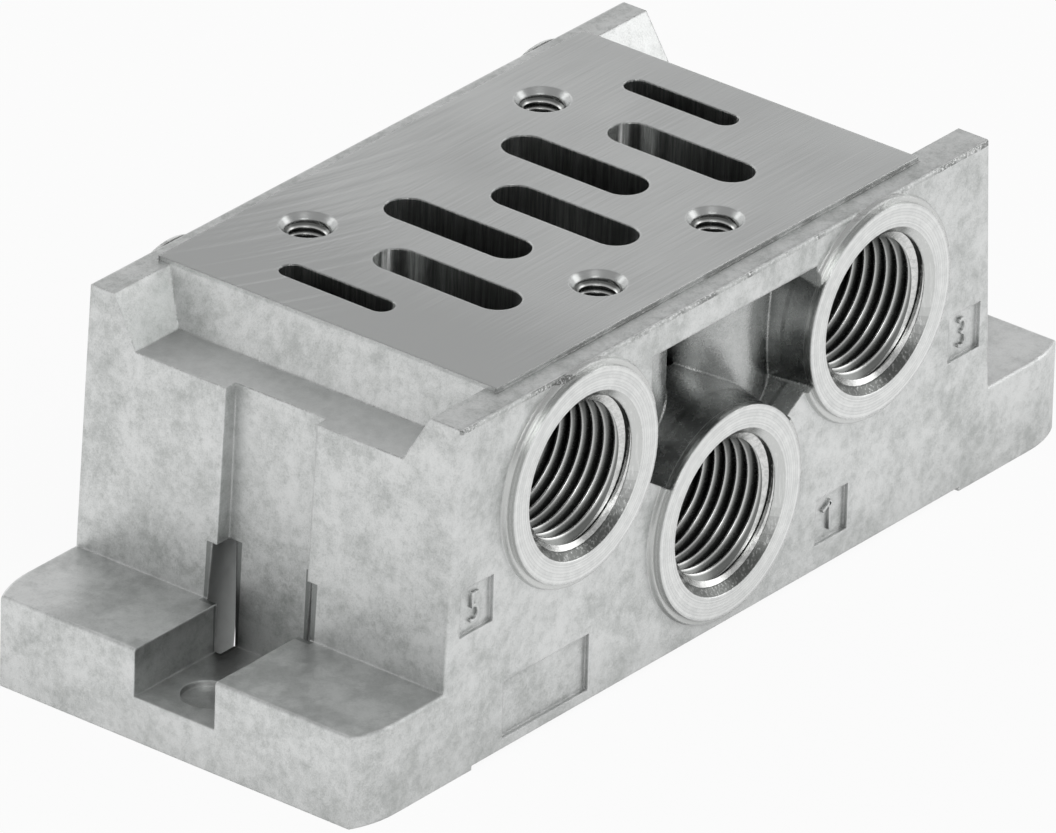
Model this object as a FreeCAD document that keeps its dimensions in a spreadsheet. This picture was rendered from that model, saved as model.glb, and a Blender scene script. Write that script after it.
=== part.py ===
import FreeCAD, Part
import math
import os

import Sketcher

# Pneumatic valve subbase, one light metal casting with a standard size 2 five-port valve face on top.
# Millimetres, +Z up. The origin is on the ground under the middle, +X points to port 3 and the front
# ports 5, 1 and 3 face -Y. Both ends are alike, so most features are drawn for both ends at once.

doc = FreeCAD.newDocument("ValveSubbase")

# Driving dimensions

dimensions = {
    # Outside of the casting
    "overall_length": 146.0,
    "body_length": 108.6,
    "body_width": 61.0,
    "body_height": 50.5,
    "end_draft": 3.2,
    "corner_radius": 0.5,
    # How far the cuts run past the casting
    "overrun": 2.0,
    # The machining of the valve face sits a little behind the middle of the casting
    "face_shift": 0.5,
    # Machined top, with a lower ledge along the front and rear edges
    "ledge_drop": 0.6,
    "plateau_length": 86.7,
    "plateau_width": 55.4,
    # Recess at each end of the top, open outwards between two sloping ears
    "recess_floor": 43.0,
    "recess_width": 51.7,
    "recess_slope": 30.0,
    "recess_end_slope": 22.0,
    # Upright channel in the middle of each end face
    "channel_width": 14.9,
    "channel_depth": 2.0,
    "channel_draft": 2.0,
    # Feet, with a screw notch in the middle of each
    "foot_height": 13.1,
    "foot_corner_radius": 15.0,
    "foot_corner_reach": 7.0,
    "notch_width": 13.3,
    "notch_floor": 6.3,
    "screw_seat_offset": 66.2,
    "screw_seat_diameter": 7.2,
    "screw_seat_depth": 0.8,
    "pad_start": 50.6,
    "pad_depth": 0.6,
    # Windows from the corners of each channel down into the open underside
    "window_inside": 5.5,
    "window_outside": 8.9,
    "window_top": 21.0,
    "window_reach": 57.1,
    "window_draft": 2.0,
    # Open underside round a core that holds the air passages
    "wall": 3.6,
    "core_length": 61.0,
    "core_width": 39.4,
    "core_bottom": 5.0,
    "core_draft": 2.0,
    # Valve face: slots in two rows and tapped holes
    "slot_pitch": 12.0,
    "slot_row_offset": 4.0,
    "slot_width": 6.4,
    "slot_length": 22.7,
    "pilot_slot_offset": 35.25,
    "pilot_slot_row_offset": 4.95,
    "pilot_slot_width": 3.7,
    "pilot_slot_length": 18.15,
    "screw_row_offset": 19.0,
    "screw_thread": 6.0,
    "screw_thread_length": 12.0,
    "screw_drill": 5.0,
    "screw_depth": 15.0,
    "screw_countersink": 7.6,
    "countersink_angle": 90.0,
    # Main ports: 5, 1, 3 in front and 4, 2 behind
    "port_thread": 20.955,
    "port_thread_length": 14.0,
    "port_mouth": 23.06,
    "port_drill": 18.6,
    "port_depth": 21.0,
    "port_ring_radius": 14.64,
    "port_ring_height": 0.6,
    "port_land_radius": 15.6,
    "port_land_height": 0.7,
    "port_land_draft": 18.0,
    "port_tube_radius": 14.4,
    "port_tube_draft": 6.0,
    "lower_tube_draft": 10.5,
    "upper_port_offset": 30.4,
    "upper_port_level": 34.6,
    "lower_port_level": 17.3,
    "rear_port_offset": 17.0,
    # Pilot ports behind
    "pilot_port_offset": 37.7,
    "pilot_port_level": 39.0,
    "pilot_port_thread": 13.157,
    "pilot_port_thread_length": 11.0,
    "pilot_port_mouth": 14.2,
    "pilot_port_drill": 9.0,
    "pilot_port_depth": 30.0,
    "pilot_ring_radius": 10.0,
    "pilot_land_radius": 10.9,
    "pilot_tube_radius": 9.0,
    # Hollow in the front between the ports, with a round boss for each screw hole
    "hollow_top": 45.4,
    "hollow_left": 15.7,
    "hollow_right": 18.3,
    "hollow_back": 19.7,
    "hollow_corner_level": 29.1,
    "hollow_foot_width": 20.0,
    "hollow_foot_level": 23.8,
    "left_boss_offset": 9.8,
    "right_boss_offset": 11.7,
    "boss_row_offset": 16.1,
    "boss_radius": 9.6,
    # Sunk fields for the port numbers and a long blank one
    "field_depth": 0.6,
    "field_size": 6.7,
    "upper_field_offset": 50.4,
    "upper_field_level": 23.4,
    "lower_field_offset": 23.2,
    "lower_field_level": 7.4,
    "blank_field_offset": 35.8,
    "blank_field_length": 17.4,
    "blank_field_height": 8.2,
    "blank_field_level": 6.1,
}

sheet = doc.addObject("Spreadsheet::Sheet", "Size")
for row, (name, size) in enumerate(dimensions.items(), start=1):
    sheet.set(f"A{row}", name)
    sheet.set(f"B{row}", str(size))
    sheet.setAlias(f"B{row}", name)
doc.recompute()

body = doc.addObject("PartDesign::Body", "Subbase")
body.Label = "subbase"


def number(expression):
    """The value of an expression over the sheet."""
    return float(body.evalExpression(expression))


def sketch_on(role, name, lift="0"):
    """A sketch on one of the body's origin planes, lifted off it by an expression."""
    sketch = body.newObject("Sketcher::SketchObject", name)
    plane = next(feature for feature in body.Origin.OriginFeatures if feature.Role == role)
    sketch.AttachmentSupport = [(plane, "")]
    sketch.MapMode = "FlatFace"
    sketch.setExpression("AttachmentOffset.Base.z", lift)
    return sketch


def bind(sketch, kind, *arguments):
    """A constraint whose value is an expression, the last of the arguments."""
    *references, expression = arguments
    index = sketch.addConstraint(Sketcher.Constraint(kind, *references, number(expression)))
    sketch.setExpression(f"Constraints[{index}]", expression)


def fix_point(sketch, edge, end, across, up):
    """Places one point of an edge from the sketch's origin."""
    bind(sketch, "DistanceX", -1, 1, edge, end, across)
    bind(sketch, "DistanceY", -1, 1, edge, end, up)


def outline(sketch, corners, arcs=None):
    """A closed outline through the corners, anticlockwise.

    Edges named in arcs bulge outwards with the radius given there, and the others are straight.
    """
    arcs = arcs or {}
    places = [FreeCAD.Vector(number(across), number(up), 0) for across, up in corners]
    edges = []
    for i, start in enumerate(places):
        end = places[(i + 1) % len(places)]
        if i in arcs:
            radius = number(arcs[i])
            chord = end - start
            inward = FreeCAD.Vector(-chord.y, chord.x, 0).normalize()
            rise = math.sqrt(radius ** 2 - (chord.Length / 2) ** 2)
            centre = (start + end) / 2 + inward * rise
            circle = Part.Circle(centre, FreeCAD.Vector(0, 0, 1), radius)
            start_angle = math.atan2(start.y - centre.y, start.x - centre.x)
            end_angle = math.atan2(end.y - centre.y, end.x - centre.x)
            edges.append(sketch.addGeometry(Part.ArcOfCircle(circle, start_angle, end_angle)))
            bind(sketch, "Radius", edges[-1], arcs[i])
        else:
            edges.append(sketch.addGeometry(Part.LineSegment(start, end)))
    for i, edge in enumerate(edges):
        sketch.addConstraint(Sketcher.Constraint("Coincident", edges[i - 1], 2, edge, 1))
        fix_point(sketch, edge, 1, *corners[i])


def rectangle(sketch, left, right, low, high):
    """An upright rectangle between two places across and two up."""
    outline(sketch, [(left, low), (right, low), (right, high), (left, high)])


def circle(sketch, across, up, radius):
    """A circle round a centre."""
    centre = FreeCAD.Vector(number(across), number(up), 0)
    edge = sketch.addGeometry(Part.Circle(centre, FreeCAD.Vector(0, 0, 1), number(radius)))
    fix_point(sketch, edge, 3, across, up)
    bind(sketch, "Radius", edge, radius)


def slot(sketch, across, up, width, length):
    """A slot with full round ends, its length upright in the sketch."""
    x = number(across)
    radius = number(f"{width} / 2")
    low = number(f"{up} - ({length} - {width}) / 2")
    high = number(f"{up} + ({length} - {width}) / 2")
    axis = FreeCAD.Vector(0, 0, 1)
    low_circle = Part.Circle(FreeCAD.Vector(x, low, 0), axis, radius)
    high_circle = Part.Circle(FreeCAD.Vector(x, high, 0), axis, radius)
    right_start = FreeCAD.Vector(x + radius, low, 0)
    right_end = FreeCAD.Vector(x + radius, high, 0)
    left_start = FreeCAD.Vector(x - radius, high, 0)
    left_end = FreeCAD.Vector(x - radius, low, 0)
    bottom = sketch.addGeometry(Part.ArcOfCircle(low_circle, math.pi, 2 * math.pi))
    right = sketch.addGeometry(Part.LineSegment(right_start, right_end))
    top = sketch.addGeometry(Part.ArcOfCircle(high_circle, 0, math.pi))
    left = sketch.addGeometry(Part.LineSegment(left_start, left_end))
    for first, second in ((bottom, right), (right, top), (top, left), (left, bottom)):
        sketch.addConstraint(Sketcher.Constraint("Tangent", first, 2, second, 1))
    sketch.addConstraint(Sketcher.Constraint("Equal", bottom, top))
    fix_point(sketch, bottom, 3, across, f"{up} - ({length} - {width}) / 2")
    fix_point(sketch, top, 3, across, f"{up} + ({length} - {width}) / 2")
    bind(sketch, "Radius", bottom, f"{width} / 2")


def extrude(kind, name, sketch, length, reverse=False, both=False, taper=None):
    """A pad or pocket of a sketch. It has to change the solid the way its kind says."""
    before = body.Shape.Volume if body.Tip else 0
    feature = body.newObject(f"PartDesign::{kind}", name)
    feature.Profile = sketch
    feature.SideType = "Symmetric" if both else "One side"
    feature.Reversed = reverse
    feature.setExpression("Length", length)
    if taper:
        feature.setExpression("TaperAngle", taper)
    doc.recompute()
    check(feature, before, kind == "Pad")


least_change = 0.01


def check(feature, before, grows):
    """Stops if a feature failed, or left the solid as it was."""
    if "Invalid" in feature.State or "Error" in feature.State:
        raise RuntimeError(f"{feature.Name} failed")
    if grows:
        change = feature.Shape.Volume - before
    else:
        change = before - feature.Shape.Volume
    if change < least_change:
        raise RuntimeError(f"{feature.Name} changes nothing: {change}")


def round_edges(name, radius, wanted):
    """Rounds the edges of the solid whose two ends pass a test."""
    before = body.Shape.Volume
    carrier = body.Tip
    picked = [f"Edge{i}" for i, edge in enumerate(carrier.Shape.Edges, start=1)
              if len(edge.Vertexes) == 2 and wanted(*[vertex.Point for vertex in edge.Vertexes])]
    fillet = body.newObject("PartDesign::Fillet", name)
    fillet.Base = (carrier, picked)
    fillet.setExpression("Radius", radius)
    doc.recompute()
    check(fillet, before, False)


# Levels and places that several features share

half_length = "Size.overall_length / 2"
half_width = "Size.body_width / 2"
ledge = "(Size.body_height - Size.ledge_drop)"
end_top = "Size.body_length / 2"
beyond = "(Size.overall_length / 2 + Size.overrun)"


def end_face(level):
    """Distance of the sloping end face from the middle at a level."""
    return f"({end_top} + ({ledge} - {level}) * tan(Size.end_draft))"


def channel_back(level):
    """Distance of the channel's back wall from the middle at a level."""
    floor = end_face("Size.recess_floor")
    return f"({floor} - Size.channel_depth + (Size.recess_floor - {level}) * tan(Size.channel_draft))"


# Body block: drafted end faces, upright front and rear

block = sketch_on("XZ_Plane", "BlockProfile")
block_foot = end_face("0")
outline(block, [(f"-{block_foot}", "0"), (block_foot, "0"), (end_top, ledge), (f"-{end_top}", ledge)])
extrude("Pad", "Block", block, "Size.body_width", both=True)

# Feet: one plate under the whole body, with rounded corners that end in an upright edge

corner_start = f"({half_length} - Size.foot_corner_reach)"
corner_rise = "sqrt(Size.foot_corner_radius ^ 2 - Size.foot_corner_reach ^ 2)"
corner_end = f"({half_width} - Size.foot_corner_radius + {corner_rise})"
feet = sketch_on("XY_Plane", "FeetOutline")
outline(feet, [(f"-{corner_start}", f"-{half_width}"), (corner_start, f"-{half_width}"),
               (half_length, f"-{corner_end}"), (half_length, corner_end),
               (corner_start, half_width), (f"-{corner_start}", half_width),
               (f"-{half_length}", corner_end), (f"-{half_length}", f"-{corner_end}")],
        {1: "Size.foot_corner_radius", 3: "Size.foot_corner_radius",
         5: "Size.foot_corner_radius", 7: "Size.foot_corner_radius"})
extrude("Pad", "Feet", feet, "Size.foot_height")

# Rounding of the outer edges from the top of the feet upwards

fit = 0.001
foot_level = number("Size.foot_height")
end_reach = number(half_length)


def outer_edge(start, end):
    """Whether an edge is rounded: those that run up or along the casting, and the feet's ends."""
    across = abs(start.x - end.x) < fit and abs(start.z - end.z) < fit
    return min(start.z, end.z) > foot_level - fit and (not across or abs(start.x) > end_reach - fit)


round_edges("OuterEdges", "Size.corner_radius", outer_edge)

# Machined plateau of the valve face, and the recess at each end of it

plateau = sketch_on("XY_Plane", "PlateauOutline", ledge)
rectangle(plateau, "-Size.plateau_length / 2", "Size.plateau_length / 2",
          "Size.face_shift - Size.plateau_width / 2", "Size.face_shift + Size.plateau_width / 2")
extrude("Pad", "Plateau", plateau, "Size.ledge_drop")

recess_depth = f"({ledge} - Size.recess_floor)"
recess_top = "Size.recess_width / 2"
recess_bottom = f"({recess_top} - {recess_depth} * tan(Size.recess_slope))"
for name, plane_place in (("Right", "Size.plateau_length / 2"), ("Left", f"-{beyond}")):
    recess = sketch_on("YZ_Plane", f"{name}RecessProfile", plane_place)
    outline(recess, [(f"Size.face_shift - {recess_bottom}", "Size.recess_floor"),
                     (f"Size.face_shift + {recess_bottom}", "Size.recess_floor"),
                     (f"Size.face_shift + {recess_top}", ledge),
                     (f"Size.face_shift + {recess_top}", f"{ledge} + Size.overrun"),
                     (f"Size.face_shift - {recess_top}", f"{ledge} + Size.overrun"),
                     (f"Size.face_shift - {recess_top}", ledge)])
    extrude("Pocket", f"{name}Recess", recess, f"{beyond} - Size.plateau_length / 2", reverse=True)

end_walls = sketch_on("XZ_Plane", "EndWallProfile")
wall_foot = f"(Size.plateau_length / 2 + {recess_depth} * tan(Size.recess_end_slope))"
outline(end_walls, [("Size.plateau_length / 2", "Size.recess_floor"),
                    (wall_foot, "Size.recess_floor"),
                    ("Size.plateau_length / 2", ledge)])
outline(end_walls, [(f"-{wall_foot}", "Size.recess_floor"),
                    ("-Size.plateau_length / 2", "Size.recess_floor"),
                    ("-Size.plateau_length / 2", ledge)])
extrude("Pad", "EndWalls", end_walls, "Size.recess_width + 2 * Size.face_shift", both=True)

# Open underside: hollow round a core that holds the air passages, and thinner walls behind the channels

roof = "(Size.recess_floor - Size.wall)"
inner_end = f"({block_foot} - Size.wall)"
inner_side = f"({half_width} - Size.wall)"
channel_inner = f"({channel_back('0')} - Size.wall)"
channel_side = "(Size.channel_width / 2 + Size.wall)"
underside = sketch_on("XY_Plane", "UndersideOutline")
outline(underside, [(f"-{inner_end}", f"-{inner_side}"), (inner_end, f"-{inner_side}"),
                    (inner_end, f"-{channel_side}"), (channel_inner, f"-{channel_side}"),
                    (channel_inner, channel_side), (inner_end, channel_side),
                    (inner_end, inner_side), (f"-{inner_end}", inner_side),
                    (f"-{inner_end}", channel_side), (f"-{channel_inner}", channel_side),
                    (f"-{channel_inner}", f"-{channel_side}"), (f"-{inner_end}", f"-{channel_side}")])
rectangle(underside, "-Size.core_length / 2", "Size.core_length / 2",
          "-Size.core_width / 2", "Size.core_width / 2")
extrude("Pocket", "Underside", underside, roof, reverse=True, taper="-Size.core_draft")

core_bottom = sketch_on("XY_Plane", "CoreBottomOutline")
rectangle(core_bottom, "-Size.core_length / 2 - Size.overrun", "Size.core_length / 2 + Size.overrun",
          "-Size.core_width / 2 - Size.overrun", "Size.core_width / 2 + Size.overrun")
extrude("Pocket", "CoreBottom", core_bottom, "Size.core_bottom", reverse=True)

# Places of the ports. Each has a machined ring, on a raised land except at ports 4 and 2.

land_face = f"({half_width} + Size.port_land_height)"
ring_face = f"({land_face} + Size.port_ring_height)"
front_ports = [("-Size.upper_port_offset", "Size.upper_port_level"),
               ("Size.upper_port_offset", "Size.upper_port_level"), ("0", "Size.lower_port_level")]
rear_ports = [("-Size.rear_port_offset", "Size.lower_port_level"),
              ("Size.rear_port_offset", "Size.lower_port_level")]
pilot_ports = [("-Size.pilot_port_offset", "Size.pilot_port_level"),
               ("Size.pilot_port_offset", "Size.pilot_port_level")]


def circles(name, lift, centres, radius):
    """A sketch of equal circles on an upright plane across the body."""
    sketch = sketch_on("XZ_Plane", name, lift)
    for across, up in centres:
        circle(sketch, across, up, radius)
    return sketch


# Hollow in the front between the ports, cut into a web that joins the core to the front wall

web = sketch_on("XZ_Plane", "WebOutline", half_width)
rectangle(web, "-Size.hollow_left - Size.wall", "Size.hollow_right + Size.wall",
          "Size.core_bottom", roof)
extrude("Pad", "Web", web, f"{half_width} - Size.core_width / 2", reverse=True)

front_lands = circles("FrontLandOutlines", half_width, front_ports, "Size.port_land_radius")
extrude("Pad", "FrontLands", front_lands, "Size.port_land_height", taper="-Size.port_land_draft")

right_run = "(Size.hollow_right - Size.hollow_foot_width / 2)"
left_run = "(Size.hollow_left - Size.hollow_foot_width / 2)"
right_rise = "(Size.hollow_corner_level - Size.hollow_foot_level)"
left_corner_level = f"(Size.hollow_foot_level + {left_run} * {right_rise} / {right_run})"
hollow = sketch_on("XZ_Plane", "HollowOutline", land_face)
outline(hollow, [("-Size.hollow_foot_width / 2", "Size.hollow_foot_level"),
                 ("Size.hollow_foot_width / 2", "Size.hollow_foot_level"),
                 ("Size.hollow_right", "Size.hollow_corner_level"),
                 ("Size.hollow_right", "Size.hollow_top"),
                 ("-Size.hollow_left", "Size.hollow_top"),
                 ("-Size.hollow_left", left_corner_level)])
extrude("Pocket", "Hollow", hollow, f"{land_face} - Size.hollow_back")

bosses = sketch_on("XY_Plane", "BossOutlines", "Size.lower_port_level")
for offset in ("-Size.left_boss_offset", "Size.right_boss_offset"):
    circle(bosses, offset, "-Size.boss_row_offset", "Size.boss_radius")
extrude("Pad", "Bosses", bosses, "Size.hollow_top - Size.lower_port_level")

# Port tubes run from the front and rear walls into the core and widen inwards, each with a faced ring

tube_length = f"(Size.port_depth - {ring_face} + {half_width} + Size.wall)"
pilot_tube_length = f"(Size.pilot_port_depth - {ring_face} + {half_width} + Size.wall)"
for name, ports, draft in (("Upper", front_ports[:2], "Size.port_tube_draft"),
                           ("Lower", front_ports[2:], "Size.lower_tube_draft")):
    sketch = circles(f"{name}TubeOutlines", land_face, ports, "Size.port_tube_radius")
    extrude("Pad", f"{name}Tubes", sketch, f"{land_face} - Size.hollow_back", reverse=True, taper=draft)
tube_ends = circles("FrontTubeEndOutlines", half_width, front_ports, "(Size.port_drill / 2 + Size.wall)")
extrude("Pad", "FrontTubeEnds", tube_ends, tube_length, reverse=True)
rear_tubes = circles("RearTubeOutlines", f"-{half_width}", rear_ports, "Size.port_ring_radius")
extrude("Pad", "RearTubes", rear_tubes, tube_length)
pilot_tubes = circles("PilotTubeOutlines", f"-{half_width}", pilot_ports, "Size.pilot_tube_radius")
extrude("Pad", "PilotTubes", pilot_tubes, pilot_tube_length)
pilot_lands = circles("PilotLandOutlines", f"-{half_width}", pilot_ports, "Size.pilot_land_radius")
extrude("Pad", "PilotLands", pilot_lands, "Size.port_land_height", reverse=True,
        taper="-Size.port_land_draft")
front_rings = circles("FrontRingOutlines", land_face, front_ports, "Size.port_ring_radius")
extrude("Pad", "FrontRings", front_rings, "Size.port_ring_height")
rear_rings = circles("RearRingOutlines", f"-{half_width}", rear_ports, "Size.port_ring_radius")
extrude("Pad", "RearRings", rear_rings, "Size.port_land_height + Size.port_ring_height", reverse=True)
pilot_rings = circles("PilotRingOutlines", f"-{land_face}", pilot_ports, "Size.pilot_ring_radius")
extrude("Pad", "PilotRings", pilot_rings, "Size.port_ring_height", reverse=True)

# Channels in the end faces, notches in the feet and their screw seats

channel = sketch_on("XZ_Plane", "ChannelProfile")
for side in ("", "-"):
    corners = [(channel_back("Size.body_height"), "Size.body_height"),
               (channel_back("Size.notch_floor"), "Size.notch_floor"),
               (end_face("Size.notch_floor"), "Size.notch_floor"),
               (end_face("Size.foot_height"), "Size.foot_height"),
               (beyond, "Size.foot_height"), (beyond, "Size.body_height")]
    if side == "-":
        corners.reverse()
    outline(channel, [(f"{side}{across}", up) for across, up in corners])
extrude("Pocket", "Channels", channel, "Size.channel_width", both=True)

notch = sketch_on("XZ_Plane", "NotchProfile")
notch_back = channel_back("Size.notch_floor")
notch_top = "Size.foot_height + Size.overrun"
rectangle(notch, notch_back, beyond, "Size.notch_floor", notch_top)
rectangle(notch, f"-{beyond}", f"-{notch_back}", "Size.notch_floor", notch_top)
extrude("Pocket", "Notches", notch, "Size.notch_width", both=True)

seats = sketch_on("XY_Plane", "SeatOutlines", "Size.notch_floor")
for side in ("-", ""):
    circle(seats, f"{side}Size.screw_seat_offset", "0", "Size.screw_seat_diameter / 2")
extrude("Pocket", "Seats", seats, "Size.screw_seat_depth")

# Windows from the channel corners down through the feet

windows = sketch_on("XY_Plane", "WindowOutlines")
window_start = f"({channel_inner} - Size.wall)"
for low, high in (("-Size.window_outside", "-Size.window_inside"),
                  ("Size.window_inside", "Size.window_outside")):
    rectangle(windows, window_start, "Size.window_reach", low, high)
    rectangle(windows, "-Size.window_reach", f"-{window_start}", low, high)
extrude("Pocket", "Windows", windows, "Size.window_top", reverse=True, taper="-Size.window_draft")

# The underside rests on a pad at each end

relief = sketch_on("XZ_Plane", "ReliefProfile")
rectangle(relief, "-Size.pad_start", "Size.pad_start", "-Size.overrun", "Size.pad_depth")
extrude("Pocket", "Relief", relief, "Size.body_width + 2 * Size.overrun", both=True)

# Air slots of the valve face, each down into the bore of its port

upper_bottom = "(Size.upper_port_level - Size.port_drill / 4)"
lower_bottom = "(Size.lower_port_level - Size.port_drill / 4)"
front_row = "(Size.face_shift - Size.slot_row_offset)"
rear_row = "(Size.face_shift + Size.slot_row_offset)"
pilot_row = "(Size.face_shift + Size.pilot_slot_row_offset)"
exhaust_places = [("-2 * Size.slot_pitch", front_row), ("2 * Size.slot_pitch", front_row)]
supply_places = [("0", front_row)]
outlet_places = [("-Size.slot_pitch", rear_row), ("Size.slot_pitch", rear_row)]
pilot_places = [("-Size.pilot_slot_offset", pilot_row), ("Size.pilot_slot_offset", pilot_row)]


def slots(name, lift, centres, width, length):
    """A sketch of equal slots on a level plane."""
    sketch = sketch_on("XY_Plane", name, lift)
    for across, up in centres:
        slot(sketch, across, up, width, length)
    return sketch


pilot_walls = slots("PilotWallOutlines", "Size.pilot_port_level - Size.wall", pilot_places,
                    "(Size.pilot_slot_width + 2 * Size.wall)", "(Size.pilot_slot_length + 2 * Size.wall)")
extrude("Pad", "PilotWalls", pilot_walls, f"{roof} - Size.pilot_port_level + Size.wall")

for name, places, bottom in (("Exhaust", exhaust_places, upper_bottom),
                             ("Supply", supply_places, lower_bottom),
                             ("Outlet", outlet_places, lower_bottom)):
    sketch = slots(f"{name}SlotOutlines", "Size.body_height", places, "Size.slot_width", "Size.slot_length")
    extrude("Pocket", f"{name}Slots", sketch, f"Size.body_height - {bottom}")
pilot_slots = slots("PilotSlotOutlines", "Size.body_height", pilot_places,
                    "Size.pilot_slot_width", "Size.pilot_slot_length")
extrude("Pocket", "PilotSlots", pilot_slots, "Size.body_height - Size.pilot_port_level")


# Threaded holes. Each thread is bored to its outer diameter, with a smaller bore beyond it.

def bore(name, sketch, diameter, depth, mouth=None, reverse=False, pointed=False):
    """Round holes from a sketch of circles, with a chamfered mouth where one is given."""
    before = body.Shape.Volume
    hole = body.newObject("PartDesign::Hole", name)
    hole.Profile = sketch
    hole.DepthType = "Dimension"
    hole.DrillPoint = "Angled" if pointed else "Flat"
    hole.Reversed = reverse
    hole.setExpression("Diameter", diameter)
    hole.setExpression("Depth", depth)
    if mouth:
        hole.HoleCutType = "Countersink"
        hole.HoleCutCustomValues = True
        hole.setExpression("HoleCutCountersinkAngle", "Size.countersink_angle")
        hole.setExpression("HoleCutDiameter", mouth)
    doc.recompute()
    check(hole, before, False)


front_screws = "Size.face_shift - Size.screw_row_offset"
rear_screws = "Size.face_shift + Size.screw_row_offset"
screw_places = [("-Size.slot_pitch", front_screws), ("Size.slot_pitch", front_screws),
                ("-2 * Size.slot_pitch", rear_screws), ("2 * Size.slot_pitch", rear_screws)]
screws = sketch_on("XY_Plane", "ScrewHoleOutlines", "Size.body_height")
for across, up in screw_places:
    circle(screws, across, up, "Size.screw_thread / 2")
bore("ScrewThreads", screws, "Size.screw_thread", "Size.screw_thread_length", "Size.screw_countersink")
bore("ScrewHoles", screws, "Size.screw_drill", "Size.screw_depth", pointed=True)

front_mouths = circles("FrontPortOutlines", ring_face, front_ports, "Size.port_thread / 2")
bore("FrontThreads", front_mouths, "Size.port_thread", "Size.port_thread_length", "Size.port_mouth")
bore("FrontBores", front_mouths, "Size.port_drill", "Size.port_depth")
rear_mouths = circles("RearPortOutlines", f"-{ring_face}", rear_ports, "Size.port_thread / 2")
bore("RearThreads", rear_mouths, "Size.port_thread", "Size.port_thread_length", "Size.port_mouth",
     reverse=True)
bore("RearBores", rear_mouths, "Size.port_drill", "Size.port_depth", reverse=True)
pilot_mouths = circles("PilotPortOutlines", f"-{ring_face}", pilot_ports, "Size.pilot_port_thread / 2")
bore("PilotThreads", pilot_mouths, "Size.pilot_port_thread", "Size.pilot_port_thread_length",
     "Size.pilot_port_mouth", reverse=True)
bore("PilotBores", pilot_mouths, "Size.pilot_port_drill", "Size.pilot_port_depth", reverse=True)

# Sunk fields on the front: one beside each port and a long blank one

fields = sketch_on("XZ_Plane", "FieldOutlines", half_width)
number_fields = [("-Size.upper_field_offset", "Size.upper_field_level"),
                 ("Size.upper_field_offset", "Size.upper_field_level"),
                 ("Size.lower_field_offset", "Size.lower_field_level")]
for across, up in number_fields:
    rectangle(fields, f"{across} - Size.field_size / 2", f"{across} + Size.field_size / 2",
              f"{up} - Size.field_size / 2", f"{up} + Size.field_size / 2")
rectangle(fields, "-Size.blank_field_offset - Size.blank_field_length / 2",
          "-Size.blank_field_offset + Size.blank_field_length / 2",
          "Size.blank_field_level - Size.blank_field_height / 2",
          "Size.blank_field_level + Size.blank_field_height / 2")
extrude("Pocket", "Fields", fields, "Size.field_depth")

# Every object has to be sound, and the casting has to be one closed solid

for item in doc.Objects:
    if "Invalid" in item.State or "Error" in item.State:
        raise RuntimeError(f"{item.Name} failed")
shape = body.Shape
if shape.isNull() or not shape.isValid() or len(shape.Solids) != 1:
    raise RuntimeError("The casting is not one sound solid")

os.makedirs("parts", exist_ok=True)
shape.exportStep(f"parts/{body.Label}.step")
box = shape.optimalBoundingBox()
print(f"{body.Label}: {shape.Volume:.0f} mm3, {box.XLength:.2f} x {box.YLength:.2f} x {box.ZLength:.2f} mm")
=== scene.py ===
import math

import bpy
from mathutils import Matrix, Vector


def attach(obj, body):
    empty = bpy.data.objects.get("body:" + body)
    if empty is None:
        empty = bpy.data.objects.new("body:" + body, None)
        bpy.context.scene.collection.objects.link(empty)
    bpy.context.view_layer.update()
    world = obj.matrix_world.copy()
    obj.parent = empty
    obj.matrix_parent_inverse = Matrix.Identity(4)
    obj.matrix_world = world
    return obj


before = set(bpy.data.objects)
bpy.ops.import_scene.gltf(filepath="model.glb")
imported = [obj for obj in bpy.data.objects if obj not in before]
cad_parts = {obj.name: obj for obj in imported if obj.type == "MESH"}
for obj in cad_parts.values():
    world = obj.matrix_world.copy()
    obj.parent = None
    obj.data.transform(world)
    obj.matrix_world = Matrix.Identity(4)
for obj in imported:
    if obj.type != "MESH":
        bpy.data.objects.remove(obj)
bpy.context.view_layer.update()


# The camera stands where the photograph was taken from: above the front left corner, far off, with
# a long lens. It isn't shifted.
camera_data = bpy.data.cameras.new("camera")
camera_data.sensor_width = 36
camera_data.lens = 614.97
camera_data.clip_start = 0.1
camera_data.clip_end = 20
camera = bpy.data.objects.new("camera", camera_data)
camera.location = (-1.62622, -1.27071, 1.09636)
camera.rotation_euler = [math.radians(angle) for angle in (62.4493, -1.4654, -51.1968)]
bpy.context.scene.collection.objects.link(camera)
bpy.context.scene.camera = camera
bpy.context.scene.view_settings.view_transform = "Standard"


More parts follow.
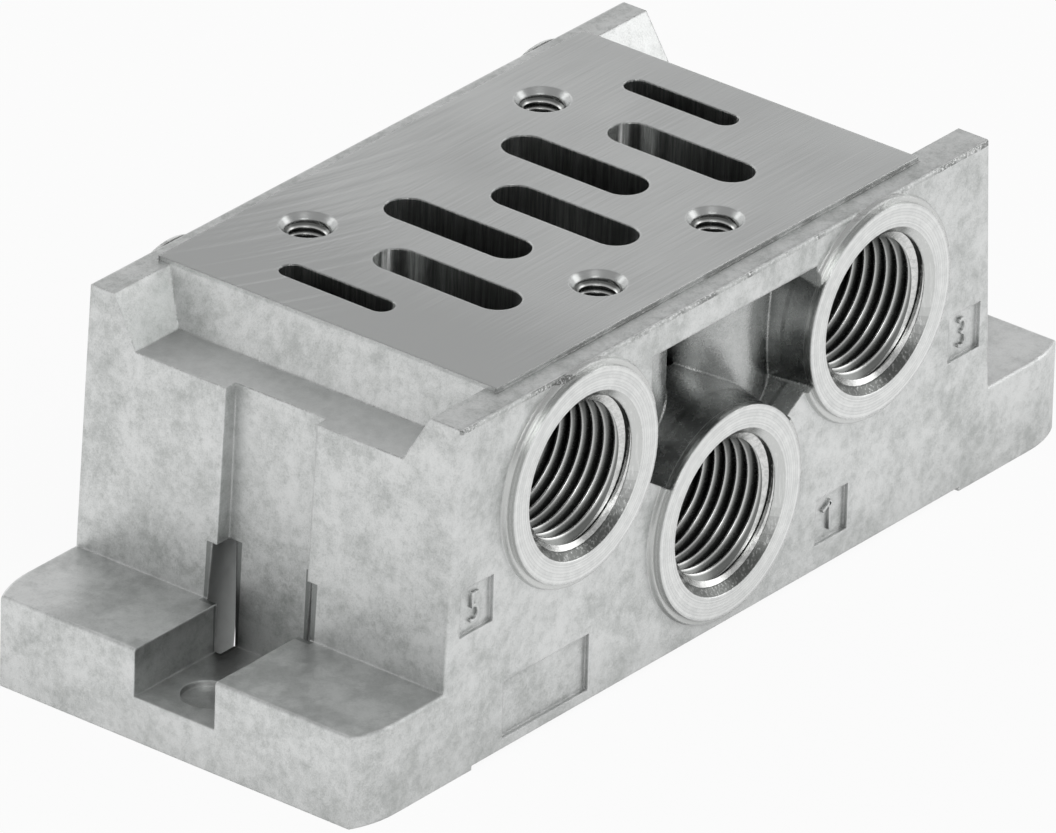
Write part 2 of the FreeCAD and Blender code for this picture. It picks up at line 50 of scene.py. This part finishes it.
# The floor is a wide sheet of matt white paper, lit softly. It keeps the shadow of the casting and
# shows white to the camera and in the metal. It lies a hair below the feet, so that no two faces
# share a place.
class Wire:
    """A socket in a material. Sums written with it add the nodes that work them out."""

    def __init__(self, tree, socket=None):
        self.tree = tree
        self.socket = socket

    def node(self, kind, settings, sockets):
        """Adds a node, sets it up, gives its sockets their values or links, and has its first output."""
        made = self.tree.nodes.new(kind)
        for name, value in settings.items():
            setattr(made, name, value)
        for name, value in sockets.items():
            if isinstance(value, Wire):
                self.tree.links.new(value.socket, made.inputs[name])
            else:
                made.inputs[name].default_value = value
        return Wire(self.tree, made.outputs[0] if made.outputs else None)

    def output(self, name):
        """Another output of the same node, by its name or number."""
        return Wire(self.tree, self.socket.node.outputs[name])

    def math(self, operation, first, second=0.0):
        return self.node("ShaderNodeMath", {"operation": operation}, {0: first, 1: second})

    def least(self, other):
        return self.math("MINIMUM", self, other)

    def most(self, other):
        return self.math("MAXIMUM", self, other)

    def __add__(self, other):
        return self.math("ADD", self, other)

    def __sub__(self, other):
        return self.math("SUBTRACT", self, other)

    def __rsub__(self, other):
        return self.math("SUBTRACT", other, self)

    def __mul__(self, other):
        return self.math("MULTIPLY", self, other)

    def __pow__(self, other):
        return self.math("POWER", self, other)

    def __gt__(self, other):
        return self.math("GREATER_THAN", self, other)

    def __lt__(self, other):
        return self.math("LESS_THAN", self, other)

    def __abs__(self):
        return self.math("ABSOLUTE", self)

    __radd__ = __add__
    __rmul__ = __mul__


def seen(start):
    """1 for rays from the camera, a reflection or glass, and 0 for the light that falls on things."""
    path = start.node("ShaderNodeLightPath", {}, {})
    rays = path.output("Is Camera Ray") + path.output("Is Glossy Ray")
    return (rays + path.output("Is Transmission Ray")).least(1.0)


mm = 0.001
floor_width = 6
below_feet = 0.05 * mm
plain_white = (1, 1, 1, 1)
paper_white = (0.9, 0.9, 0.9, 1)
glow = 0.93

bpy.ops.object.select_all(action="DESELECT")
bpy.ops.mesh.primitive_plane_add(size=floor_width, location=(0, 0, -below_feet))
floor = bpy.context.object
floor.name = "floor"
paper = bpy.data.materials.new("paper")
paper.use_nodes = True
paper.node_tree.nodes.clear()
start = Wire(paper.node_tree)
matt = start.node("ShaderNodeBsdfDiffuse", {}, {"Color": paper_white})
white = start.node("ShaderNodeEmission", {}, {"Color": plain_white, "Strength": 1.0})
start.node("ShaderNodeOutputMaterial", {}, {
    "Surface": start.node("ShaderNodeMixShader", {}, {0: seen(start) * glow, 1: matt, 2: white}),
})
floor.data.materials.append(paper)


# The room is a white tent round the object, greyer overhead, with three broad soft lamps: one above
# the front left, one to the right and a long one behind.
def between(value, low, high, to_low=0.0, to_high=1.0):
    """Eases from to_low, where value is at low, to to_high, where it is at high."""
    return value.node("ShaderNodeMapRange", {"interpolation_type": "SMOOTHSTEP"}, {
        "Value": value, "From Min": low, "From Max": high, "To Min": to_low, "To Max": to_high,
    })


tent_light = 0.62
overhead_share = 0.5

world = bpy.data.worlds.new("tent")
bpy.context.scene.world = world
world.use_nodes = True
world.node_tree.nodes.clear()
start = Wire(world.node_tree)
direction = start.node("ShaderNodeTexCoord", {}, {})
upwards = start.node("ShaderNodeSeparateXYZ", {}, {0: direction}).output("Z")
strength = tent_light + (1 - tent_light) * seen(start)
strength = strength * between(upwards, 0.15, 0.6, to_low=1.0, to_high=overhead_share)
start.node("ShaderNodeOutputWorld", {}, {
    "Surface": start.node("ShaderNodeBackground", {}, {"Color": plain_white, "Strength": strength}),
})


object_middle = (0, 0, 0.025)


def lamp(name, place, width, height, power):
    """A soft rectangular lamp at place that faces the middle of the object."""
    light = bpy.data.lights.new(name, "AREA")
    light.shape = "RECTANGLE"
    light.size = width
    light.size_y = height
    light.energy = power
    made = bpy.data.objects.new(name, light)
    made.location = place
    aim = Vector(object_middle) - Vector(place)
    made.rotation_euler = aim.to_track_quat("-Z", "Y").to_euler()
    bpy.context.scene.collection.objects.link(made)


lamp("key_lamp", (-0.55, -0.75, 0.85), width=0.6, height=0.6, power=3.5)
lamp("side_lamp", (0.9, -0.5, 0.45), width=0.5, height=0.7, power=1.5)
lamp("back_lamp", (0.1, 1.0, 0.7), width=0.9, height=0.4, power=1.5)


# The casting is one piece of aluminium, die-cast with a clouded satin skin. The valve face, the
# faces of the port rings, their bores and the tapped holes are machined bright. The material knows
# each face by its place on the object, in millimetres.
def texture_place(start):
    """The place on the object in millimetres, as a vector and as x, y and z."""
    place = start.node("ShaderNodeTexCoord", {}, {}).output("Object")
    place = start.node("ShaderNodeVectorMath", {"operation": "SCALE"}, {0: place, "Scale": 1 / mm})
    parts = start.node("ShaderNodeSeparateXYZ", {}, {0: place})
    return place, parts.output("X"), parts.output("Y"), parts.output("Z")


def upward(start):
    """How far a face looks up: 1 where it is level, 0 where it is upright, -1 where it looks down."""
    normal = start.node("ShaderNodeNewGeometry", {}, {}).output("True Normal")
    return start.node("ShaderNodeSeparateXYZ", {}, {0: normal}).output("Z")


def open_sky(start, reach):
    """How open a place is: 1 where no face lies within reach, down to 0 where it is closed in."""
    shade = start.node("ShaderNodeAmbientOcclusion", {"samples": 3}, {"Distance": reach * mm})
    return shade.output("AO")


def speckle(place, scale, detail, roughness, stretch=(1, 1, 1)):
    """Cloudy noise about 0.5. The scale is in spots for each millimetre."""
    mapped = place.node("ShaderNodeMapping", {}, {"Vector": place, "Scale": stretch})
    return place.node("ShaderNodeTexNoise", {}, {
        "Vector": mapped, "Scale": scale, "Detail": detail, "Roughness": roughness,
    })


def rings(radius, scale):
    """Noise about 0.5 that changes with the radius alone."""
    return radius.node("ShaderNodeTexNoise", {"noise_dimensions": "1D"}, {
        "W": radius, "Scale": scale, "Detail": 4.0,
    })


def sway(noise, amount):
    """Noise about 0.5 made noise about 0, and stronger or weaker by the amount."""
    return (noise - 0.5) * amount


def blend(share, first, second):
    """A colour that goes from first to second as share goes from 0 to 1."""
    return share.node("ShaderNodeMix", {"data_type": "RGBA"}, {0: share, 6: first, 7: second}).output(2)


def near(value, middle, reach):
    """1 where value is within reach of middle, and 0 elsewhere."""
    return abs(value - middle) < reach


def distance(across, along, centre):
    """How far a point is from a centre, where both lie on one plane."""
    return ((across - centre[0]) ** 2.0 + (along - centre[1]) ** 2.0) ** 0.5


# Each port's axis as across and up, and each screw hole's as across and back
front_ports = {"5": (-30.4, 34.6), "1": (0.0, 17.3), "3": (30.4, 34.6)}
rear_ports = {"4": (-17.0, 17.3), "2": (17.0, 17.3)}
pilot_ports = {"14": (-37.7, 39.0), "12": (37.7, 39.0)}
screw_holes = {
    "front_left": (-12.0, -18.5),
    "front_right": (12.0, -18.5),
    "rear_left": (-24.0, 19.5),
    "rear_right": (24.0, 19.5),
}
screw_hole_floor = 34.0
out_of_reach = 20.0


def hole_radii(x, y, z):
    """How far a point is from the axis of the nearest port, pilot port and screw hole.

    The left holes mirror the right ones, so abs(x) is measured from the right ones alone."""
    front_port = distance(abs(x), z, front_ports["3"]).least(distance(x, z, front_ports["1"]))
    rear_port = distance(abs(x), z, rear_ports["2"])
    port = front_port * (y < 0.0) + rear_port * (y > 0.0)
    pilot = distance(abs(x), z, pilot_ports["12"]) + out_of_reach * (y < 0.0)
    front_screw = distance(abs(x), y, screw_holes["front_right"])
    rear_screw = distance(abs(x), y, screw_holes["rear_right"])
    return port, pilot, front_screw.least(rear_screw)


cast = bpy.data.materials.new("die_cast_aluminium")
cast.use_nodes = True
cast.node_tree.nodes.clear()
start = Wire(cast.node_tree)
place, x, y, z = texture_place(start)
port_radius, pilot_radius, screw_radius = hole_radii(x, y, z)
faces_up = upward(start)
level = faces_up > 0.9


def round_ports(reach, pilot_reach):
    """1 within reach of a port's axis, or within pilot_reach of a pilot port's, and 0 elsewhere."""
    return (port_radius < reach) + (pilot_radius < pilot_reach)


# Cut faces: the valve face, the rings with their mouths and bores, the screw holes, and the slots
under_valve_face = 50.45
under_ring_face = 31.75
land_root = 30.52
port_mouth = 30.75
hair = 0.01
bore_end = 9.0
slot_floor = 30.0
top = z > under_valve_face
ring_face = abs(y) > under_ring_face
turned = (abs(y) > land_root) * round_ports(reach=15.9, pilot_reach=11.2)
chamfer = (abs(y) > port_mouth - hair) * round_ports(reach=11.56, pilot_reach=7.12)
in_bore = (abs(y) < port_mouth + hair) * (abs(y) > bore_end)
bore = in_bore * round_ports(reach=10.55, pilot_reach=6.7)
screw_hole = (screw_radius < 3.9) * (z < under_valve_face) * (z > screw_hole_floor)
main_slots = near(x, middle=0.0, reach=27.6) * near(y, middle=0.5, reach=15.5)
pilot_slots = near(abs(x), middle=35.25, reach=2.0) * near(y, middle=5.45, reach=9.3)
in_slot = (z < under_valve_face) * (z > slot_floor) * (screw_radius > 4.0)
slot_wall = (main_slots + pilot_slots) * in_slot
machined = (top + ring_face + turned + screw_hole + slot_wall).least(1.0)

# Cast places: the windows and tops of the feet, the recesses, the hollow, and the outer rims
window_top = 21.1
over_feet = 14.0
hollow_mouth = -30.45
hollow_back = -15.5
under_rim = 30.1
window = near(abs(y), middle=7.2, reach=1.9) * near(abs(x), middle=52.0, reach=5.3) * (z < window_top)
foot_top = level * (z < over_feet)
recess = level * near(z, middle=43.0, reach=0.1)
hollow = near(z, middle=34.5, reach=10.93) * near(x, middle=1.3, reach=17.05)
hollow = hollow * (y > hollow_mouth) * (y < hollow_back)
cast_rim = (abs(y) > under_rim) * near(z, middle=49.5, reach=0.3)

# The skin: clouds, blotches and grain, patchy painted shade on the tops of the feet, painted shade in
# their windows and in the hollow, and painted light on the recess floors and the tops of the feet
skin_dark = (0.42, 0.435, 0.425, 1)
skin_pale = (0.74, 0.75, 0.745, 1)
painted_shade_grey = (0.22, 0.23, 0.225, 1)
level_light_pale = (0.92, 0.93, 0.925, 1)
hollow_shade_grey = (0.33, 0.34, 0.335, 1)
clouds = speckle(place, scale=0.14, detail=4.0, roughness=0.6)
blotches = speckle(place, scale=0.7, detail=6.0, roughness=0.7)
grain = speckle(place, scale=4.0, detail=3.0, roughness=0.7)
pits = between(grain, 0.6, 0.75, to_high=0.25)
tone = sway(clouds, 0.55) + sway(blotches, 0.6) + sway(grain, 0.45) - pits
skin = blend(between(tone, -0.28, 0.18), skin_dark, skin_pale)
# Painted shade: cloudy patches of it on the tops of the feet, and a deep one in their windows
feet_and_window_shade = between(clouds, 0.4, 0.58, to_low=0.3, to_high=0.0) * foot_top + window * 0.85
skin = blend(feet_and_window_shade, skin, painted_shade_grey)
# Painted light: the level floors of the recesses and the tops of the feet are made paler
skin = blend(recess * 0.55 + foot_top * 0.3, skin, level_light_pale)
# Painted shade over the hollow
skin = blend(hollow * 0.42, skin, hollow_shade_grey)

# The valve face: fine straight marks, worn patches, and wide arcs of the cutter at one corner, with
# painted shade that darkens it towards its left end
milled_dark = (0.48, 0.49, 0.485, 1)
milled_pale = (0.70, 0.71, 0.705, 1)
cutter_centre = (30.0, 150.0)
brush = speckle(place, scale=1.0, detail=4.0, roughness=0.75, stretch=(0.05, 4.5, 0.1))
wear = speckle(place, scale=0.035, detail=2.0, roughness=0.5)
sweep = rings(distance(x, y, cutter_centre), scale=0.8)
corner = between(y - x * 0.5, 12.0, 34.0)
marks_and_shade = sway(brush, 0.5) + sway(wear, 0.6) + sway(sweep, 0.9) * corner
# Painted shade: the valve face darkens towards its left end
marks_and_shade = marks_and_shade + between(x, -45.0, 0.0, to_low=-0.28, to_high=0.04)
milled = blend(between(marks_and_shade, -0.3, 0.3), milled_dark, milled_pale)

# The rings are turned, and the walls of the slots are cut downwards with some chatter
turned_dark = (0.62, 0.63, 0.625, 1)
turned_pale = (0.80, 0.81, 0.80, 1)
slot_dark = (0.40, 0.41, 0.405, 1)
lathe = rings(port_radius.least(pilot_radius) * 3.0, scale=1.0)
turning = between(lathe * 0.5 + blotches * 0.5, 0.3, 0.7)
machined_ring = blend(turning, turned_dark, turned_pale)
chatter = speckle(place, scale=1.0, detail=3.0, roughness=0.7, stretch=(3.0, 3.0, 0.15))
cut_wall = blend(between(chatter, 0.3, 0.7), slot_dark, turned_pale)

# The chamfers of the mouths are burnished and bright in the tool's marks, with painted shade that makes
# them dark where they look up
burnish_side = (0.60, 0.61, 0.60, 1)
chamfer_up_shade = (0.13, 0.135, 0.13, 1)
chamfer_marks_and_shade = blend(between(faces_up, 0.15, 0.6), burnish_side, chamfer_up_shade)
chamfer_marks_and_shade = blend(between(chatter, 0.5, 0.7, to_high=0.4), chamfer_marks_and_shade, turned_pale)

# Sharp edges show where the rounded normal leaves the face's own
edges = start.node("ShaderNodeBevel", {"samples": 3}, {"Radius": 0.4 * mm})
straight = start.node("ShaderNodeVectorMath", {"operation": "DOT_PRODUCT"}, {
    0: edges,
    1: start.node("ShaderNodeNewGeometry", {}, {}).output("True Normal"),
}).output("Value")
sharp = between(straight, 0.985, 0.85)
cast_edge = sharp * (1 - machined) * (1 - hollow)

# The finishes laid over each other: first the machined faces, then the edges with their wear and painted
# highlights, and the painted shade
land_grey = (0.62, 0.63, 0.62, 1)
screw_hole_grey = (0.50, 0.51, 0.505, 1)
bore_shade_dark = (0.10, 0.105, 0.10, 1)
step_shade_dark = (0.16, 0.165, 0.16, 1)
rim_dark = (0.14, 0.145, 0.14, 1)
edge_wear_and_highlight = (0.85, 0.86, 0.855, 1)
shade_dark = (0.04, 0.042, 0.04, 1)
hollow_edge_highlight = (0.80, 0.81, 0.80, 1)
over_ledges = 41.0
under_step = 50.47
stretches = between(clouds, 0.42, 0.58)
specks = speckle(place, scale=2.6, detail=4.0, roughness=0.75)
worn = blend(between(specks, 0.50, 0.62), rim_dark, edge_wear_and_highlight)
face_step = near(abs(y - 0.5), middle=27.7, reach=0.3) * near(x, middle=0.0, reach=43.5)
face_step = face_step * (z < under_step)
colour = blend(top, skin, milled)
colour = blend(turned, colour, land_grey)
colour = blend(ring_face, colour, machined_ring)
colour = blend(chamfer * (1 - ring_face), colour, chamfer_marks_and_shade)
colour = blend(screw_hole, colour, screw_hole_grey)
colour = blend(slot_wall, colour, cut_wall)
# Painted shade: the bores are made dark
colour = blend(bore, colour, bore_shade_dark)
# Painted shade: a dark line along the small step under the edge of the valve face
colour = blend(face_step * (0.2 + stretches * 0.5), colour, step_shade_dark)
# Painted highlights along the cast edges and fillets, together with wear
colour = blend(cast_edge * (0.4 + stretches * 0.5), colour, edge_wear_and_highlight)
upper_edge = (cast_edge + cast_rim) * (z > over_ledges)
colour = blend(upper_edge * (0.2 + stretches * 0.6), colour, worn)
shaded = between(open_sky(start, 24), 0.08, 0.5, to_low=0.8, to_high=0.0)
shaded = shaded * (1 - slot_wall * 0.9) * (1 - sharp * hollow)
colour = blend(shaded, colour, shade_dark)
# Painted highlights on the edges of the hollow, laid over its painted shade
colour = blend(sharp * hollow * (0.3 + stretches * 0.5), colour, hollow_edge_highlight)

cast_roughness = 0.40 + sway(blotches, 0.3) - hollow * 0.14
machined_roughness = 0.25
roughness = cast_roughness * (1 - machined) + machined_roughness * machined
height = (sway(blotches, 0.3) + sway(grain, 0.15)) * (1 - machined)
bumped = start.node("ShaderNodeBump", {}, {
    "Strength": 0.35, "Distance": 0.3 * mm, "Height": height, "Normal": edges,
})
start.node("ShaderNodeOutputMaterial", {}, {
    "Surface": start.node("ShaderNodeBsdfPrincipled", {}, {
        "Base Color": colour, "Metallic": 1.0, "Roughness": roughness, "Normal": bumped,
    }),
})
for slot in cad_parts["subbase"].material_slots:
    slot.material = cast


# The threads of the ports are cut in the bores. Each is a helical ridge that stands inwards from
# the bore's wall. It runs out on the chamfer of the mouth and ends square where the tap stopped.
def ridge(name, wall, crest, pitch, length, steps):
    """A right-handed ridge on +Z from 0 to length, from the wall's radius in to the crest's radius."""
    crest_half_width = pitch * 0.06
    root_half_width = pitch * 0.47
    bpy.ops.object.select_all(action="DESELECT")
    bpy.ops.mesh.primitive_plane_add(size=1, rotation=(math.pi / 2, 0, 0))
    made = bpy.context.object
    made.name = name
    bpy.ops.object.transform_apply(location=False, rotation=True, scale=True)
    for corner in made.data.vertices:
        inner = corner.co.x < 0
        corner.co.x = crest if inner else wall
        corner.co.z = math.copysign(crest_half_width if inner else root_half_width, corner.co.z)
    bpy.ops.object.mode_set(mode="EDIT")
    bpy.ops.mesh.select_mode(type="VERT")
    bpy.ops.mesh.select_all(action="DESELECT")
    bpy.ops.object.mode_set(mode="OBJECT")
    for corner in made.data.vertices:
        corner.select = corner.co.x < (wall + crest) / 2
    bpy.ops.object.mode_set(mode="EDIT")
    bpy.ops.mesh.bevel(offset=pitch * 0.04, segments=2, affect="VERTICES")
    bpy.ops.mesh.select_all(action="SELECT")
    bpy.ops.transform.translate(value=(0, 0, -pitch))
    bpy.ops.object.mode_set(mode="OBJECT")
    turns = made.modifiers.new("turns", "SCREW")
    turns.angle = 2 * math.pi
    turns.screw_offset = pitch
    turns.iterations = math.ceil(length / pitch) + 2
    turns.steps = steps
    turns.render_steps = steps
    turns.use_merge_vertices = True
    turns.merge_threshold = 0.001 * mm
    bpy.ops.object.modifier_apply(modifier="turns")

    # Both ends are cut level and closed
    bpy.ops.object.mode_set(mode="EDIT")
    for end, upper in ((0, False), (length, True)):
        bpy.ops.mesh.select_all(action="SELECT")
        bpy.ops.mesh.bisect(
            plane_co=(0, 0, end), plane_no=(0, 0, 1), threshold=0.0001 * mm,
            clear_outer=upper, clear_inner=not upper,
        )
        bpy.ops.mesh.edge_face_add()
    bpy.ops.object.mode_set(mode="OBJECT")

    # The chamfer of the mouth takes the ridge away at 45 degrees
    for corner in made.data.vertices:
        radius = math.hypot(corner.co.x, corner.co.y)
        out = max(radius, wall - corner.co.z) / radius
        corner.co.x *= out
        corner.co.y *= out
    bpy.ops.object.mode_set(mode="EDIT")
    bpy.ops.mesh.select_all(action="SELECT")
    bpy.ops.mesh.remove_doubles(threshold=0.002 * mm)
    bpy.ops.mesh.normals_make_consistent(inside=False)
    bpy.ops.object.mode_set(mode="OBJECT")
    bpy.ops.object.shade_smooth_by_angle(angle=math.radians(40))
    return made


def place_ridge(ridge_piece, name, mouth, turn):
    """Leaves a copy of the ridge, with its own mesh, turned and set with its mouth in place."""
    bpy.ops.object.select_all(action="DESELECT")
    made = ridge_piece.copy()
    made.data = ridge_piece.data.copy()
    made.name = name
    bpy.context.scene.collection.objects.link(made)
    bpy.context.view_layer.objects.active = made
    made.select_set(True)
    made.location = [length * mm for length in mouth]
    made.rotation_euler = turn
    bpy.ops.object.transform_apply(location=True, rotation=True, scale=True)
    made.data.materials.clear()
    made.data.materials.append(bright)
    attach(made, "root")


port_crest = 9.3155
pilot_crest = 5.7225
screw_crest = 2.46
first_turn_end = 29.3
port_mouth_radius = 11.0
flank_shade_dark = (0.17, 0.175, 0.17, 1)
cut_grey = (0.60, 0.61, 0.60, 1)
cut_pale = (0.84, 0.84, 0.83, 1)

bright = bpy.data.materials.new("cut_aluminium")
bright.use_nodes = True
bright.node_tree.nodes.clear()
start = Wire(bright.node_tree)
place, x, y, z = texture_place(start)
port_radius, pilot_radius, screw_radius = hole_radii(x, y, z)
screw_radius = screw_radius + out_of_reach * (z < screw_hole_floor)
below_crest = (port_radius - port_crest).least(pilot_radius - pilot_crest)
below_crest = below_crest.least(screw_radius - screw_crest)
scratches = speckle(place, scale=1.5, detail=3.0, roughness=0.7)
first_turn = (abs(y) > first_turn_end) * (port_radius < port_mouth_radius)
# Painted light and shade: the crests, the flanks that look up and the first turn at the mouth are lit,
# the other flanks are painted dark, and closed-in places get painted shade
lit = 1 - between(below_crest, 0.05, 0.35)
lit = lit * between(upward(start), -0.6, 0.7, to_low=0.4)
lit = lit.most(first_turn * (0.4 + scratches))
lit = lit * between(open_sky(start, 9), 0.1, 0.5, to_low=0.25)
start.node("ShaderNodeOutputMaterial", {}, {
    "Surface": start.node("ShaderNodeBsdfPrincipled", {}, {
        "Base Color": blend(lit, flank_shade_dark, blend(scratches, cut_grey, cut_pale)),
        "Metallic": 1.0,
        "Roughness": 0.2 + scratches * 0.12,
    }),
})

to_rear = (-math.pi / 2, 0, 0)
to_front = (math.pi / 2, 0, 0)
port_ridge = ridge(
    "port_ridge", wall=10.53 * mm, crest=port_crest * mm, pitch=1.814 * mm, length=12.9 * mm, steps=72,
)
for name, (across, up) in front_ports.items():
    place_ridge(port_ridge, "thread_of_port_" + name, (across, -port_mouth, up), to_rear)
for name, (across, up) in rear_ports.items():
    place_ridge(port_ridge, "thread_of_port_" + name, (across, port_mouth, up), to_front)
bpy.data.objects.remove(port_ridge)

pilot_mouth = 31.28
pilot_ridge = ridge(
    "pilot_ridge", wall=6.62 * mm, crest=pilot_crest * mm, pitch=1.337 * mm, length=10.4 * mm, steps=56,
)
for name, (across, up) in pilot_ports.items():
    place_ridge(pilot_ridge, "thread_of_port_" + name, (across, pilot_mouth, up), to_front)
bpy.data.objects.remove(pilot_ridge)


# The four tapped holes in the valve face take the valve's screws. Their threads are cut in the same
# way, and begin just below the countersinks.
screw_mouth = 49.7
downwards = (math.pi, 0, 0)
screw_ridge = ridge(
    "screw_ridge", wall=3.04 * mm, crest=screw_crest * mm, pitch=1.0 * mm, length=11.1 * mm, steps=40,
)
for name, (across, back) in screw_holes.items():
    mouth = (across, back, screw_mouth)
    place_ridge(screw_ridge, "thread_of_screw_hole_" + name, mouth, downwards)
bpy.data.objects.remove(screw_ridge)


# The port numbers are cast in low relief on the floors of their sunk fields, in thin plain strokes.
# The 1 of the built-in font is a plain bar, so a slanted flag is joined to it.
field_floor = 30.0
digit_height = 6.4
digit_narrowing = 0.75
thinner_stroke = 0.04
relief = 0.3
flag_size = (1.8, 0.6, 0.45)
flag_slope = 27
for number, across, up in (("5", -50.4, 23.1), ("1", 23.2, 7.1), ("3", 50.4, 23.1)):
    bpy.ops.object.select_all(action="DESELECT")
    bpy.ops.object.text_add()
    digit = bpy.context.object
    digit.name = "number_" + number
    digit.data.body = number
    digit.data.align_x = "CENTER"
    digit.data.align_y = "CENTER"
    digit.data.size = digit_height * mm
    digit.data.offset = -thinner_stroke * mm
    digit.data.extrude = relief * mm
    bpy.ops.object.convert(target="MESH")
    digit = bpy.context.object
    digit.scale = (digit_narrowing, 1, 1)
    digit.rotation_euler = (math.pi / 2, 0, 0)
    digit.location = (across * mm, -field_floor * mm, up * mm)
    bpy.ops.object.transform_apply(location=True, rotation=True, scale=True)
    if number == "1":
        flag_across = across - 0.7
        flag_up = up + 1.6
        bpy.ops.mesh.primitive_cube_add(
            size=mm, location=(flag_across * mm, -field_floor * mm, flag_up * mm),
            rotation=(0, -math.radians(flag_slope), 0), scale=flag_size,
        )
        bpy.ops.object.transform_apply(location=True, rotation=True, scale=True)
        digit.select_set(True)
        bpy.context.view_layer.objects.active = digit
        bpy.ops.object.join()
    digit.data.materials.clear()
    digit.data.materials.append(cast)
    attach(digit, "root")
